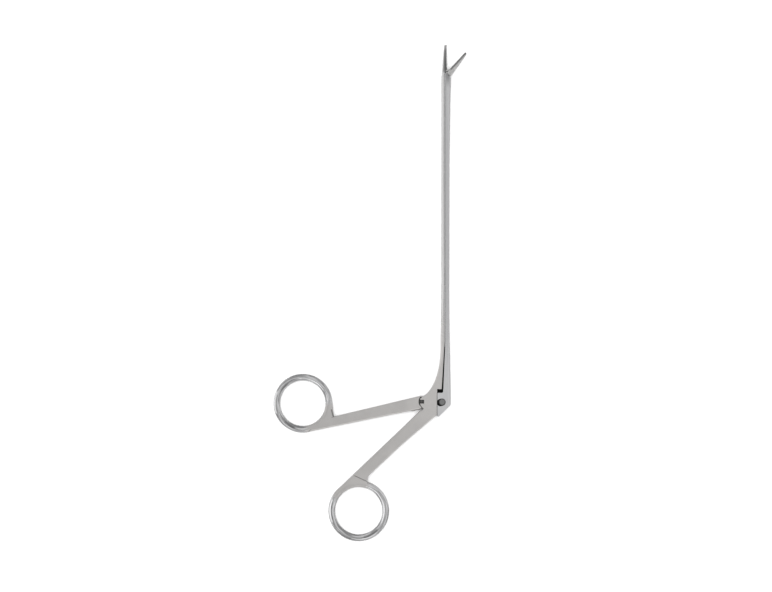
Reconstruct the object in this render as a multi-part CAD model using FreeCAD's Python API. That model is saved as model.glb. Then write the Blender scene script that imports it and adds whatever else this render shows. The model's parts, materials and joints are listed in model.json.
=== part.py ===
"""Alligator forceps with a sliding shaft, ring handles and one opening jaw.

The instrument lies flat. X points to the side the jaw opens to, Y along the shaft towards the jaws,
and Z up through the thickness. Every size is in millimetres. The drawing origin is on the parting
line of the shaft, level with the lever pivot and in the middle of the thickness; export moves the
finished set so that the origin is below the middle of the whole instrument.
"""
import FreeCAD, Part
import math
import os

V = FreeCAD.Vector

# Thickness of the main forms
BODY_THICK = 5.0
SHAFT_THICK = 3.6
ARM_END_THICK = 3.9

# Fits
RUN_GAP = 0.05          # radial gap of a pin that turns or slides
FACE_GAP = 0.10         # gap between flat faces that slide on each other
LAYER_GAP = 0.08        # gap between the thin leaves at the jaw joint
HANDLE_GAP = 0.35       # gap between the round end of the body and the lever

# Shaft, seen from above: outer edges of the fixed and the sliding half
SHAFT_END_Y = 163.5
FIXED_OUT_TIP = 1.72
FIXED_OUT_MID = 1.70
FIXED_OUT_BACK = 1.78
SLIDE_OUT_TIP = 3.10
SLIDE_OUT_UPPER = 2.65
SLIDE_OUT_MID = 2.25
SLIDE_OUT_BACK = 2.10
SLIDE_OUT_NECK = 2.35
SHAFT_UPPER_Y = 150.0
SHAFT_WAIST_Y = 120.0
SHAFT_BACK_Y = 52.0
SHAFT_ROUND = 1.30
PARTING_BREAK = 0.18
LARGEST_ROUND = 0.9     # largest corner radius as a share of what is there to round

# Neck, where the fixed half widens along part of an ellipse until it meets the round end
NECK_HALF_X = 11.0
NECK_HALF_Y = 25.0
NECK_OUT = 2.10
NECK_ROUND = 0.60
SLIT_TOP_Y = 31.5
SLIT_FIXED_X = -1.55
SLIT_SLIDE_X = -0.90
GAP_TOP_Y = 7.05

# Body and lever pivot
PIVOT = V(-8.55, 0.75, 0)
PIVOT_PIN_R = 1.25
SEAM_X = -3.90
SEAM_LOW_Y = -6.20
ROUND_END_R = 4.0
ROUND_END_TOP_DEG = 142.9
ROUND_END_LOW_DEG = -135.0
WINDOW_WIDTH = 1.9
WINDOW_DEPTH = 2.1
NOTCH_DEG = 148.0
NOTCH_R = 0.45

# Lever tongue and drive pin
TONGUE_THICK = 2.0
TONGUE_ROOT_R = 3.0
DRIVE_PIN = V(-1.50, 0.50, 0)
DRIVE_PIN_R = 1.80
DRIVE_EYE_WALL = 0.70
DRIVE_PIN_RECESS = 0.20
PIN_CHAMFER = 0.30
DRIVE_HOLE_SPARE = V(-0.75, -0.20, 0)

# Foot of the sliding half
FOOT_TOP_Y = 5.15
FOOT_RIGHT_X = 2.85
FOOT_ROUND = 1.90
FOOT_INNER_STEP = 0.45
FOOT_INNER_RISE = 0.54
FOOT_CUT_TOP = V(1.25, -2.50, 0)
FOOT_CUT_LOW = V(-3.30, -6.95, 0)
FOOT_LEFT_LOW_Y = -6.30
FOOT_SLOT_SPARE = 0.30

# Heel of the lever beside the thumb arm
HEEL_SHARE = 0.5        # share of the swing that the heel is cut back by
HEEL_REACH = 9.0
HEEL_STEPS = 4

# Motion
LEVER_SWING = 10.0      # degrees of the finger handle from open to closed
JAW_OPEN = 42.5         # degrees of the moving jaw from open to closed

# Arms: where the straight edges start, the corner where the shorter edge ends at the ring, the points
# that the end of the flat runs through, and how far along the longer edge that end and the web start
FINGER_ROOT = V(-8.90, 1.12, 0)
FINGER_UP_ROOT = V(-8.90, 4.40, 0)
FINGER_LOW_ROOT = V(-8.90, -2.15, 0)
FINGER_CORNER = V(-55.60, -6.75, 0)
FINGER_CREASE = (V(-61.00, -7.90, 0), V(-64.60, -10.90, 0))
FINGER_FLAT_SHARE = 1.0
THUMB_TAPER_START = V(-12.40, -9.00, 0)
THUMB_UP_ROOT = V(-9.40, -1.00, 0)
THUMB_LOW_ROOT = V(-2.45, -4.50, 0)
THUMB_BEND = V(-21.80, -21.00, 0)
THUMB_BEND_R = 150.0
THUMB_CORNER = V(-38.45, -36.65, 0)
THUMB_CREASE = (V(-39.90, -39.25, 0), V(-44.60, -36.50, 0))
THUMB_FLAT_SHARE = 0.84
THUMB_WEB_SHARE = 0.79
THUMB_LANDING_DEG = 72.0
ARM_ROUND = 0.85

# Rings: centre, radius of the middle line, half width and half height of the oval section
FINGER_RING = V(-71.00, -0.10, 0)
FINGER_RING_R = 13.00
THUMB_RING = V(-43.08, -53.85, 0)
THUMB_RING_R = 13.50
RING_HALF_WIDTH = 1.66
RING_HALF_HEIGHT = 1.98
RING_TOP_ROUND = 1.25
WEB_HALF_HEIGHT = 1.90
TOUCH_INSET = 0.15      # how far the straight edge runs inside the outside of the ring
WEB_INSIDE = 1.0        # how far the flat web reaches inside the ring's middle line

# Jaw joint
JAW_PIVOT = V(1.05, 165.70, 0)
LINK_PIN = V(2.00, 163.75, 0)
SMALL_PIN_R = 0.35
BLADE_THICK = 1.0
BLADE_EYE_R = 0.75
HUB_R = 0.95
LEAF_THICK = 0.60
CAM_WALL = 0.42
SHOULDER_UP = 0.45      # full thickness of the moving jaw starts this far past its pivot
SLIDE_FRONT_Y = 164.75
SLIDE_FRONT_SLOPE = 27.0
SLIDE_NOSE_WIDTH = 0.70
FORK_FLOOR_Y = 162.55

# Jaws, measured from the jaw pivot when closed
JAW_LENGTH = 13.3
JAW_ROOT_DEPTH = 2.90
JAW_TIP_DEPTH = 1.30
JAW_TIP_ROUND = 0.60
JAW_ROOT_THICK = 2.9
JAW_TIP_THICK = 1.9
BITE_GAP = 0.12
FIXED_BITE_X = 1.00
CHEEK_OUT = 1.50
CHEEK_OUT_TOP = 1.30
FIXED_JAW_ROOT_UP = 1.07
FIXED_JAW_TIP_DEPTH = 1.45
JAW_BACK_ROUND = 0.95
TIP_STEPS = 3
TIP_TURN = math.radians(75)
TOOTH_PITCH = 0.70
TOOTH_DEPTH = 0.22
TOOTH_START = 1.8
TOOTH_END_SPARE = 0.6

# Rib of the fixed half that closes the travel gap and guides the sliding half
RIB_HALF_THICK = 0.80
RIB_LOW_Y = 4.65
RIB_TOP_Y = 28.0
RIB_BITE = 0.25
RIB_ROOT = 0.70

# Guides: T-shaped keys of the sliding half in stepped slots of the fixed half
GUIDE_KEY_LENGTH = 6.0
GUIDE_FRONT_Y = 146.0
GUIDE_BACK_Y = 62.0
GUIDE_NECK_HALF = 0.50
GUIDE_HEAD_HALF = 0.90
GUIDE_NECK_DEPTH = 0.65
GUIDE_HEAD_THICK = 0.45

OVERLAP = 0.30          # how far joined forms run into each other
JOIN_TOLERANCE = 0.00001    # distance within which faces of joined forms count as one
BIG = 400.0             # longer than anything that is cut


def travel():
    """Distance that the drive pin moves the sliding half along Y."""
    arm = DRIVE_PIN.sub(PIVOT)
    start = math.atan2(arm.y, arm.x)
    return arm.Length * (math.sin(start + math.radians(LEVER_SWING)) - math.sin(start))


def polar(centre, radius, degrees):
    angle = math.radians(degrees)
    return V(centre.x + radius * math.cos(angle), centre.y + radius * math.sin(angle), centre.z)


def turned(shape, centre, degrees):
    copy = shape.copy()
    copy.rotate(centre, V(0, 0, 1), degrees)
    return copy


def prism(edges, low, high):
    """Solid between two heights over a closed outline in the XY plane."""
    face = Part.Face(Part.Wire(Part.__sortEdges__(edges)))
    face.translate(V(0, 0, low))
    return face.extrude(V(0, 0, high - low))


def polygon(points, low, high):
    face = Part.Face(Part.makePolygon(list(points) + [points[0]]))
    face.translate(V(0, 0, low))
    return face.extrude(V(0, 0, high - low))


def disc(centre, radius, low, high):
    return Part.makeCylinder(radius, high - low, V(centre.x, centre.y, low))


def block(x0, x1, y0, y1, z0, z1):
    return Part.makeBox(x1 - x0, y1 - y0, z1 - z0, V(x0, y0, z0))


def arc_points(centre, radius, start_deg, end_deg):
    middle = 0.5 * (start_deg + end_deg)
    return Part.Arc(polar(centre, radius, start_deg), polar(centre, radius, middle),
                    polar(centre, radius, end_deg)).toShape()


def line(a, b):
    return Part.LineSegment(a, b).toShape()


def rounded_outline(corners):
    """Edges of a closed outline from (point, radius) corners; a radius of 0 leaves a sharp corner."""
    stops = []
    arcs = []
    for i, (corner, radius) in enumerate(corners):
        if radius == 0:
            stops.append((corner, corner))
            continue
        back = (corners[i - 1][0] - corner).normalize()
        ahead = (corners[(i + 1) % len(corners)][0] - corner).normalize()
        half_angle = 0.5 * back.getAngle(ahead)
        reach = radius / math.tan(half_angle)
        middle = (back + ahead).normalize() * (radius / math.sin(half_angle) - radius)
        first, last = corner + back * reach, corner + ahead * reach
        arcs.append(Part.Arc(first, corner + middle, last).toShape())
        stops.append((first, last))
    sides = [line(stops[i - 1][1], stops[i][0]) for i in range(len(stops))]
    return sides + arcs


def stadium(a, b, radius, low, high):
    """Slot-shaped solid round the straight way from a to b."""
    along = math.degrees(math.atan2(b.y - a.y, b.x - a.x))
    edges = [
        arc_points(a, radius, along + 90, along + 270),
        line(polar(a, radius, along - 90), polar(b, radius, along - 90)),
        arc_points(b, radius, along - 90, along + 90),
        line(polar(b, radius, along + 90), polar(a, radius, along + 90)),
    ]
    return prism(edges, low, high)


def curved_slot(a, m, b, radius, low, high):
    """Slot-shaped solid whose middle line is the arc through three points."""
    centre = Part.Arc(a, m, b).toShape().Curve.Center
    reach = a.sub(centre).Length
    first = math.degrees(math.atan2(a.y - centre.y, a.x - centre.x))
    last = math.degrees(math.atan2(b.y - centre.y, b.x - centre.x))
    last += 360.0 * round((first - last) / 360.0)
    turn = math.copysign(90.0, last - first)
    edges = [
        arc_points(centre, reach + radius, first, last),
        arc_points(centre, reach - radius, first, last),
        arc_points(a, radius, first, first - 2 * turn),
        arc_points(b, radius, last, last + 2 * turn),
    ]
    return prism(edges, low, high)


def d_section(y, flat_x, round_x, thick, corner):
    """Outline of one shaft half: flat at the parting line, rounded on the outside."""
    half = thick / 2
    side = math.copysign(1.0, round_x - flat_x)
    width = abs(round_x - flat_x)
    r = min(corner, LARGEST_ROUND * half, LARGEST_ROUND * (width - PARTING_BREAK))
    c = PARTING_BREAK
    bend = r * (1 - math.sqrt(0.5))
    inner = round_x - side * r
    edges = [
        line(V(flat_x, y, -half + c), V(flat_x + side * c, y, -half)),
        line(V(flat_x + side * c, y, -half), V(inner, y, -half)),
        Part.Arc(V(inner, y, -half), V(round_x - side * bend, y, -half + bend),
                 V(round_x, y, -half + r)).toShape(),
        line(V(round_x, y, -half + r), V(round_x, y, half - r)),
        Part.Arc(V(round_x, y, half - r), V(round_x - side * bend, y, half - bend),
                 V(inner, y, half)).toShape(),
        line(V(inner, y, half), V(flat_x + side * c, y, half)),
        line(V(flat_x + side * c, y, half), V(flat_x, y, half - c)),
        line(V(flat_x, y, half - c), V(flat_x, y, -half + c)),
    ]
    return Part.Wire(edges)


def taper(start, end, start_thick, end_thick):
    """Wide bar along start to end whose thickness changes evenly, and goes on past both ends."""
    way = end.sub(start)
    slope = 0.5 * (end_thick - start_thick) / way.Length
    back, ahead = -0.5 * way.Length, 1.6 * way.Length
    low, high = 0.5 * start_thick + slope * back, 0.5 * start_thick + slope * ahead
    points = [V(back, -BIG, low), V(ahead, -BIG, high), V(ahead, -BIG, -high), V(back, -BIG, -low)]
    bar = Part.Face(Part.makePolygon(points + [points[0]])).extrude(V(0, 2 * BIG, 0))
    bar.rotate(V(0, 0, 0), V(0, 0, 1), math.degrees(math.atan2(way.y, way.x)))
    bar.translate(start)
    return bar


def tangent_point(start, centre, radius, side):
    """Point where a line from start touches a circle; side is 1 with the centre on its left, else -1."""
    way = centre.sub(start)
    heading = math.degrees(math.atan2(way.y, way.x))
    lean = math.degrees(math.asin(radius / way.Length))
    return polar(centre, radius, heading - side * (lean + 90))


def off_line(point, a, b):
    """Distance of a point from the line through a and b, seen from above."""
    way = b.sub(a)
    return abs(way.x * (point.y - a.y) - way.y * (point.x - a.x)) / math.hypot(way.x, way.y)


def round_sides(solid, sides, radius):
    """Rounds the upper and lower edges of a plate along the given straight sides."""
    rims = []
    for edge in solid.Edges:
        first, last = edge.firstVertex().Point, edge.lastVertex().Point
        level = abs(first.z - last.z) < 0.5 * edge.Length
        if level and any(off_line(first, a, b) + off_line(last, a, b) < 0.001 for a, b in sides):
            rims.append(edge)
    return solid.makeFillet(radius, rims)


def ring(centre, radius):
    """Finger ring whose section is an oval of four arcs, flatter on the inside and the outside."""
    rise = RING_HALF_HEIGHT - RING_TOP_ROUND
    run = RING_HALF_WIDTH - RING_TOP_ROUND
    shift = (rise * rise - run * run) / (2 * run)
    side_r = RING_HALF_WIDTH + shift
    lean = math.atan2(rise, shift)
    meet = V(side_r * math.cos(lean) - shift, 0, side_r * math.sin(lean))
    right_low, left_low = V(meet.x, 0, -meet.z), V(-meet.x, 0, -meet.z)
    left_high = V(-meet.x, 0, meet.z)
    arcs = [
        Part.Arc(right_low, V(RING_HALF_WIDTH, 0, 0), meet),
        Part.Arc(meet, V(0, 0, RING_HALF_HEIGHT), left_high),
        Part.Arc(left_high, V(-RING_HALF_WIDTH, 0, 0), left_low),
        Part.Arc(left_low, V(0, 0, -RING_HALF_HEIGHT), right_low),
    ]
    section = Part.Face(Part.Wire([arc.toShape() for arc in arcs]))
    section.translate(V(radius, 0, 0))
    band = section.revolve(V(0, 0, 0), V(0, 0, 1), 360)
    band.translate(centre)
    return band


def ringed(plates, ring_centre, ring_radius):
    """Arm and web joined to their ring, with the inside of the ring left free."""
    inside = disc(ring_centre, ring_radius - WEB_INSIDE, -BIG, BIG)
    return plates[0].fuse(plates[1:]).cut(inside).fuse(ring(ring_centre, ring_radius))


def finger_touch():
    """Where the lower edge of the finger arm runs into the outside of its ring."""
    return tangent_point(FINGER_LOW_ROOT, FINGER_RING, FINGER_RING_R + RING_HALF_WIDTH - TOUCH_INSET, -1)


def thumb_touch():
    """Where the upper edge of the thumb arm runs into the outside of its ring."""
    return tangent_point(THUMB_UP_ROOT, THUMB_RING, THUMB_RING_R + RING_HALF_WIDTH - TOUCH_INSET, 1)


def finger_bar():
    """Tapered finger arm whose flat runs out along the lower side of the ring."""
    touch = finger_touch()
    end = FINGER_LOW_ROOT + (touch - FINGER_LOW_ROOT) * FINGER_FLAT_SHARE
    half = BODY_THICK / 2
    plate = polygon([FINGER_UP_ROOT, FINGER_CORNER, *FINGER_CREASE, end, FINGER_LOW_ROOT], -half, half)
    plate = plate.common(taper(FINGER_ROOT, end, BODY_THICK, ARM_END_THICK))
    return round_sides(plate, [(FINGER_UP_ROOT, FINGER_CORNER), (FINGER_LOW_ROOT, end)], ARM_ROUND)


def finger_arm():
    landing = tangent_point(FINGER_CORNER, FINGER_RING, FINGER_RING_R + RING_HALF_WIDTH, 1)
    web = polygon([FINGER_CORNER, landing, FINGER_RING, FINGER_CREASE[1]], -WEB_HALF_HEIGHT, WEB_HALF_HEIGHT)
    web = round_sides(web, [(FINGER_CORNER, landing)], ARM_ROUND)
    return ringed([finger_bar(), web], FINGER_RING, FINGER_RING_R)


def thumb_bar():
    """Tapered thumb arm, wider at the body, ending at the crease above the ring."""
    end = THUMB_UP_ROOT + (thumb_touch() - THUMB_UP_ROOT) * THUMB_FLAT_SHARE
    half = BODY_THICK / 2
    corners = [THUMB_LOW_ROOT, THUMB_BEND, THUMB_CORNER, *THUMB_CREASE, end, THUMB_UP_ROOT]
    outline = rounded_outline([(p, THUMB_BEND_R if p is THUMB_BEND else 0) for p in corners])
    plate = prism(outline, -half, half).common(taper(THUMB_TAPER_START, end, BODY_THICK, ARM_END_THICK))
    sides = [(THUMB_LOW_ROOT, THUMB_BEND), (THUMB_BEND, THUMB_CORNER), (THUMB_UP_ROOT, end)]
    return round_sides(plate, sides, ARM_ROUND)


def thumb_arm():
    touch = thumb_touch()
    back = THUMB_UP_ROOT + (touch - THUMB_UP_ROOT) * THUMB_WEB_SHARE
    landing = polar(THUMB_RING, THUMB_RING_R, THUMB_LANDING_DEG)
    web = polygon([THUMB_CORNER, landing, THUMB_RING, touch, back], -WEB_HALF_HEIGHT, WEB_HALF_HEIGHT)
    web = round_sides(web, [(THUMB_CORNER, landing), (touch, back)], ARM_ROUND)
    return ringed([thumb_bar(), web], THUMB_RING, THUMB_RING_R)


def neck_centre():
    """Middle of the ellipse that leaves the shaft straight and ends on the round end."""
    end = polar(PIVOT, ROUND_END_R, ROUND_END_TOP_DEG)
    x = -NECK_OUT - NECK_HALF_X
    rise = NECK_HALF_Y * math.sqrt(1 - ((end.x - x) / NECK_HALF_X) ** 2)
    return V(x, end.y + rise, 0)


def neck_edge(y):
    """Outer edge of the neck at height y, on the ellipse."""
    centre = neck_centre()
    drop = max((centre.y - y) / NECK_HALF_Y, 0.0)
    return centre.x + NECK_HALF_X * math.sqrt(1 - drop * drop)


def blend(y, y0, y1, v0, v1):
    share = min(max((y - y0) / (y1 - y0), 0.0), 1.0)
    return v0 + (v1 - v0) * share


def neck_levels():
    """Heights of the sections between the shaft and the travel gap, closer together lower down."""
    steps = 7
    return [SLIT_TOP_Y - (SLIT_TOP_Y - GAP_TOP_Y) * math.sin(0.5 * math.pi * i / steps)
            for i in range(steps + 1)]


def fixed_shaft():
    """Fixed half of the shaft and its neck."""
    flat = -FACE_GAP / 2
    rod = Part.makeLoft([
        d_section(SHAFT_END_Y, flat, -FIXED_OUT_TIP, SHAFT_THICK, SHAFT_ROUND),
        d_section(SHAFT_WAIST_Y, flat, -FIXED_OUT_MID, SHAFT_THICK, SHAFT_ROUND),
        d_section(SHAFT_BACK_Y, flat, -FIXED_OUT_BACK, SHAFT_THICK, SHAFT_ROUND),
        d_section(SLIT_TOP_Y, flat, neck_edge(SLIT_TOP_Y), SHAFT_THICK, SHAFT_ROUND),
    ], True, True)
    sections = []
    for y in neck_levels():
        sections.append(d_section(
            y, blend(y, GAP_TOP_Y, SLIT_TOP_Y, SLIT_FIXED_X, flat), neck_edge(y),
            blend(y, GAP_TOP_Y, SLIT_TOP_Y, BODY_THICK, SHAFT_THICK),
            blend(y, GAP_TOP_Y, SLIT_TOP_Y, NECK_ROUND, SHAFT_ROUND)))
    return rod.fuse(Part.makeLoft(sections, True, False))


def body_plate():
    """Body below the travel gap, with its round end beside the lever."""
    half = BODY_THICK / 2
    centre = neck_centre()
    top = V(neck_edge(GAP_TOP_Y), GAP_TOP_Y, 0)
    low_deg = 360.0 + ROUND_END_LOW_DEG
    start = polar(PIVOT, ROUND_END_R, ROUND_END_TOP_DEG)
    low = polar(PIVOT, ROUND_END_R, low_deg)
    oval = Part.Ellipse(centre - V(0, NECK_HALF_Y, 0), centre + V(NECK_HALF_X, 0, 0), centre)
    ends = sorted([oval.parameter(top), oval.parameter(start)])
    edges = [
        Part.ArcOfEllipse(oval, ends[0], ends[1]).toShape(),
        arc_points(PIVOT, ROUND_END_R, ROUND_END_TOP_DEG, low_deg),
        line(low, V(PIVOT.x, SEAM_LOW_Y, 0)),
        line(V(PIVOT.x, SEAM_LOW_Y, 0), V(SEAM_X, SEAM_LOW_Y, 0)),
        line(V(SEAM_X, SEAM_LOW_Y, 0), V(SEAM_X, GAP_TOP_Y, 0)),
        line(V(SEAM_X, GAP_TOP_Y, 0), top),
    ]
    plate = prism(edges, -half, half)
    rims = [edge for edge in plate.Edges
            if edge.Curve.TypeId == "Part::GeomEllipse"]
    return plate.makeFillet(NECK_ROUND, rims)


def tongue_outline(spare, low, high):
    """Tongue of the lever from its root to the drive eye, grown by spare all round."""
    root = polar(PIVOT, 2 * ROUND_END_R, lever_heading())
    neck = stadium(root, PIVOT, TONGUE_ROOT_R + spare, low, high)
    eye_r = DRIVE_PIN_R + DRIVE_EYE_WALL + spare
    along = DRIVE_PIN.sub(PIVOT)
    lean = math.degrees(math.atan2(along.y, along.x))
    web = polygon([polar(PIVOT, TONGUE_ROOT_R + spare, lean + 90),
                   polar(PIVOT, TONGUE_ROOT_R + spare, lean - 90),
                   polar(DRIVE_PIN, eye_r, lean - 90),
                   polar(DRIVE_PIN, eye_r, lean + 90)], low, high)
    return neck.fuse([web, disc(DRIVE_PIN, eye_r, low, high)]).removeSplitter()


def lever_heading():
    along = (FINGER_CORNER - FINGER_UP_ROOT).normalize() + (finger_touch() - FINGER_LOW_ROOT).normalize()
    return math.degrees(math.atan2(along.y, along.x))


def tongue_way(carried):
    """Space that the tongue needs over its swing, in a piece that is carried along Y meanwhile."""
    half = TONGUE_THICK / 2 + FACE_GAP
    shape = tongue_outline(FOOT_SLOT_SPARE, -half, half)
    end = turned(shape, PIVOT, LEVER_SWING)
    end.translate(V(0, -carried, 0))
    return shape.fuse(end).removeSplitter()


def beyond_heel(spare):
    """Everything on the thumb side of the line that the heel of the lever is cut along."""
    away = math.degrees(math.atan2(THUMB_UP_ROOT.x - thumb_touch().x, thumb_touch().y - THUMB_UP_ROOT.y))
    near = THUMB_UP_ROOT + polar(V(), HANDLE_GAP / 2 - spare, away)
    far = thumb_touch() + polar(V(), HANDLE_GAP / 2 - spare, away)
    side = polar(V(), BIG, away + 180)
    way = far.sub(near)
    cut = polygon([near - way, far + way, far + way + side, near - way + side], -BIG, BIG)
    return turned(cut, PIVOT, -HEEL_SHARE * LEVER_SWING)


def notch():
    """Small round relief at the upper end of the gap beside the round end."""
    return disc(polar(PIVOT, ROUND_END_R + HANDLE_GAP / 2, NOTCH_DEG), NOTCH_R, -BIG, BIG)


def lever_arm():
    """Finger arm and ring, ending in the hollow shoulder round the body."""
    shape = finger_arm().cut(disc(PIVOT, ROUND_END_R + HANDLE_GAP, -BIG, BIG))
    shoulder = block(PIVOT.x, BIG, -BIG, BIG, -BIG, BIG)
    return shape.cut([beyond_heel(0.0), shoulder, notch()])


def finger_handle():
    half = TONGUE_THICK / 2
    shape = lever_arm().fuse(tongue_outline(0.0, -half, half))
    shape = shape.cut(disc(PIVOT, PIVOT_PIN_R + RUN_GAP, -BIG, BIG))
    return shape.cut(disc(DRIVE_PIN, DRIVE_PIN_R, -BIG, BIG))


def heel_relief():
    """Pocket in the root of the thumb arm that the heel of the lever swings into."""
    spare = HANDLE_GAP / 2
    along = (finger_touch() - FINGER_LOW_ROOT).normalize()
    low = FINGER_LOW_ROOT + V(along.y, -along.x, 0) * -spare
    up = FINGER_UP_ROOT
    heel = polygon([low, low + along * HEEL_REACH, up + along * HEEL_REACH, up], -BIG, BIG)
    heel = heel.cut(beyond_heel(spare))
    steps = [turned(heel, PIVOT, LEVER_SWING * i / HEEL_STEPS) for i in range(1, HEEL_STEPS + 1)]
    return heel.fuse(steps).cut(disc(PIVOT, ROUND_END_R, -BIG, BIG))


def slide_edge(y):
    """Inner edge of the sliding half beside the slit."""
    return blend(y, GAP_TOP_Y, SLIT_TOP_Y - 2 * travel(), SLIT_SLIDE_X, FACE_GAP / 2)


def rib(spare, carried):
    """Rib across the travel gap and the slit, or the groove for it in a piece carried along Y."""
    low = RIB_LOW_Y - carried - spare
    top = RIB_TOP_Y + spare
    reach = RIB_BITE + 2 * spare
    root = SEAM_X - RIB_ROOT
    points = [V(root, low, 0), V(SLIT_SLIDE_X + reach, low, 0), V(SLIT_SLIDE_X + reach, GAP_TOP_Y, 0),
              V(slide_edge(top) + reach, top, 0), V(-RIB_ROOT, top, 0),
              V(SLIT_FIXED_X - RIB_ROOT, GAP_TOP_Y + RIB_ROOT, 0), V(root, GAP_TOP_Y + RIB_ROOT, 0)]
    return polygon(points, -RIB_HALF_THICK - spare, RIB_HALF_THICK + spare)


def guide_centres():
    return (GUIDE_BACK_Y, GUIDE_FRONT_Y)


def guide_slot(y):
    """Stepped slot through the fixed half, longer than its key by the travel."""
    low = y - GUIDE_KEY_LENGTH / 2 - FACE_GAP
    high = y + GUIDE_KEY_LENGTH / 2 + travel() + 2 * FACE_GAP
    neck = GUIDE_NECK_HALF + FACE_GAP / 2
    head = GUIDE_HEAD_HALF + FACE_GAP / 2
    step = -FACE_GAP / 2 - GUIDE_NECK_DEPTH
    narrow = block(-BIG, BIG, low, high, -neck, neck)
    wide = block(-BIG, step, low, high, -head, head)
    return narrow.fuse(wide)


def guide_key(y):
    low = y - GUIDE_KEY_LENGTH / 2
    high = y + GUIDE_KEY_LENGTH / 2
    step = -FACE_GAP / 2 - GUIDE_NECK_DEPTH - FACE_GAP / 2
    neck = block(step, FACE_GAP, low, high, -GUIDE_NECK_HALF, GUIDE_NECK_HALF)
    head = block(step - GUIDE_HEAD_THICK, step, low, high, -GUIDE_HEAD_HALF, GUIDE_HEAD_HALF)
    return neck.fuse(head)


def jaw_blank(root_y, bite_x, root_depth, tip_depth, direction):
    """Tapered jaw with a rounded tip, flat on its biting side and rounded on its back."""
    tip_y = JAW_PIVOT.y + JAW_LENGTH
    bend_y = tip_y - JAW_TIP_ROUND
    sections = [d_section(root_y, bite_x, bite_x + direction * root_depth, JAW_ROOT_THICK, JAW_BACK_ROUND)]
    for i in range(TIP_STEPS + 1):
        angle = TIP_TURN * i / TIP_STEPS
        loss = JAW_TIP_ROUND * (1 - math.cos(angle))
        y = bend_y + JAW_TIP_ROUND * math.sin(angle)
        sections.append(d_section(y, bite_x, bite_x + direction * (tip_depth - loss),
                                  JAW_TIP_THICK - loss, JAW_BACK_ROUND))
    return Part.makeLoft(sections, True, True)


def teeth(bite_x, direction, shift):
    """Row of V grooves across a biting face; direction points into the jaw."""
    first = JAW_PIVOT.y + TOOTH_START + shift
    last = JAW_PIVOT.y + JAW_LENGTH - TOOTH_END_SPARE
    count = int((last - first) / TOOTH_PITCH)
    half = JAW_ROOT_THICK
    grooves = []
    for i in range(count + 1):
        y = first + i * TOOTH_PITCH
        a = V(bite_x - direction * TOOTH_DEPTH, y - TOOTH_PITCH, 0)
        b = V(bite_x + direction * TOOTH_DEPTH, y, 0)
        c = V(bite_x - direction * TOOTH_DEPTH, y + TOOTH_PITCH, 0)
        grooves.append(polygon([a, b, c], -half, half))
    return grooves


def fixed_jaw():
    root_y = JAW_PIVOT.y + FIXED_JAW_ROOT_UP
    depth = FIXED_BITE_X + CHEEK_OUT_TOP
    jaw = jaw_blank(root_y, FIXED_BITE_X, depth, FIXED_JAW_TIP_DEPTH, -1)
    return jaw.cut(teeth(FIXED_BITE_X, -1, 0.0))


def jaw_cheek():
    """Solid root of the fixed jaw beside the jaw joint, with the blade that holds the pivot."""
    half = SHAFT_THICK / 2
    flat = -FACE_GAP / 2
    root_y = JAW_PIVOT.y + FIXED_JAW_ROOT_UP
    outer = CHEEK_OUT
    jaw_half = JAW_ROOT_THICK / 2
    lower = Part.makeLoft([
        d_section(SHAFT_END_Y, flat, -outer, SHAFT_THICK, SHAFT_ROUND),
        d_section(JAW_PIVOT.y - HUB_R, flat, -outer, SHAFT_THICK, SHAFT_ROUND),
        d_section(root_y, flat, -CHEEK_OUT_TOP, JAW_ROOT_THICK, JAW_BACK_ROUND),
    ], True, True)
    rim = HUB_R + LAYER_GAP
    bridge_low = SLIDE_FRONT_Y + travel() + FACE_GAP
    bridge = block(flat - OVERLAP, FIXED_BITE_X, bridge_low, root_y, -jaw_half, jaw_half)
    bridge = bridge.cut(disc(JAW_PIVOT, rim, -half, half))
    blade_half = BLADE_THICK / 2
    blade = block(flat - OVERLAP, JAW_PIVOT.x, JAW_PIVOT.y - BLADE_EYE_R, root_y, -blade_half, blade_half)
    eye = disc(JAW_PIVOT, BLADE_EYE_R, -blade_half, blade_half)
    shape = lower.fuse([bridge, blade, eye])
    clear = disc(JAW_PIVOT, rim, -half, half)
    core = block(-BIG, BIG, -BIG, BIG, -blade_half, blade_half)
    shape = shape.cut(clear.cut(core))
    return shape.cut(disc(JAW_PIVOT, SMALL_PIN_R, -half, half))


def fixed_handle():
    half = BODY_THICK / 2
    thumb = thumb_arm().cut(block(SEAM_X, BIG, -BIG, BIG, -BIG, BIG))
    forms = [body_plate(), thumb, jaw_cheek(), fixed_jaw(), rib(0.0, 0.0)]
    shape = fixed_shaft().fuse(forms, JOIN_TOLERANCE)
    window = block(PIVOT.x - ROUND_END_R - OVERLAP, PIVOT.x - ROUND_END_R + WINDOW_DEPTH,
                   PIVOT.y - WINDOW_WIDTH / 2, PIVOT.y + WINDOW_WIDTH / 2, -half, half)
    pin_hole = disc(PIVOT, PIVOT_PIN_R, -BIG, BIG)
    shape = shape.cut([tongue_way(0.0), heel_relief(), window, notch(), pin_hole])
    return shape.cut([guide_slot(y) for y in guide_centres()]).removeSplitter()


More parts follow.
